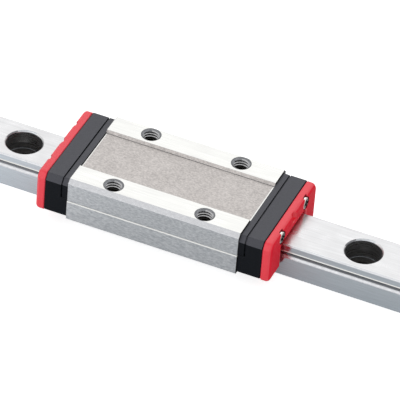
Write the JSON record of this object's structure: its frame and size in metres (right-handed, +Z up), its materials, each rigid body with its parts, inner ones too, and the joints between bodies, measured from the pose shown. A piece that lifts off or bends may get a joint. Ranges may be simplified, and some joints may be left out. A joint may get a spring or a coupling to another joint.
{
  "type": "miniature linear guide rail",
  "caption": "Slim ground steel rail with counterbored holes and ball grooves, and a long steel carriage with black end caps and red seals that slides along it.",
  "frame": {"origin": "centre of the rail's flat base, half way along its length", "axes": "+X along the rail, +Y across it towards the back of the picture, +Z up from the rail's base to the carriage's top"},
  "size_m": [0.115, 0.02, 0.01],
  "materials": {
    "rail_steel": "surface-ground hardened steel, grinding lines along the rail",
    "block_steel": "ground lands and sides, matt recess",
    "black_plastic": "moulded black engineering plastic with a fine texture",
    "red_seal": "moulded red seal, satin",
    "guide_plastic": "natural moulded plastic",
    "plated_screw": "bright plated",
    "ball_steel": "polished bearing steel",
    "wire_steel": "drawn spring wire"
  },
  "bodies": {
    "rail_body": {"rail": "rail_steel"},
    "carriage": {"ball_retainer_back": "wire_steel", "ball_retainer_front": "wire_steel", "ball_train_back": "ball_steel", "ball_train_front": "ball_steel", "carriage_block": "block_steel", "end_cap_left": "black_plastic", "end_cap_right": "black_plastic", "end_seal_left": "red_seal", "end_seal_right": "red_seal", "return_guide_left_back": "guide_plastic", "return_guide_left_front": "guide_plastic", "return_guide_right_back": "guide_plastic", "return_guide_right_front": "guide_plastic", "return_plate_left": "black_plastic", "return_plate_right": "black_plastic", "seal_screw_left_back": "plated_screw", "seal_screw_left_front": "plated_screw", "seal_screw_right_back": "plated_screw", "seal_screw_right_front": "plated_screw"}
  },
  "joints": [
    {"name": "carriage_slide", "type": "slide", "parent": "rail_body", "child": "carriage", "axis": [1, 0, 0], "range_m": [-0.034, 0.0396]}
  ]
}
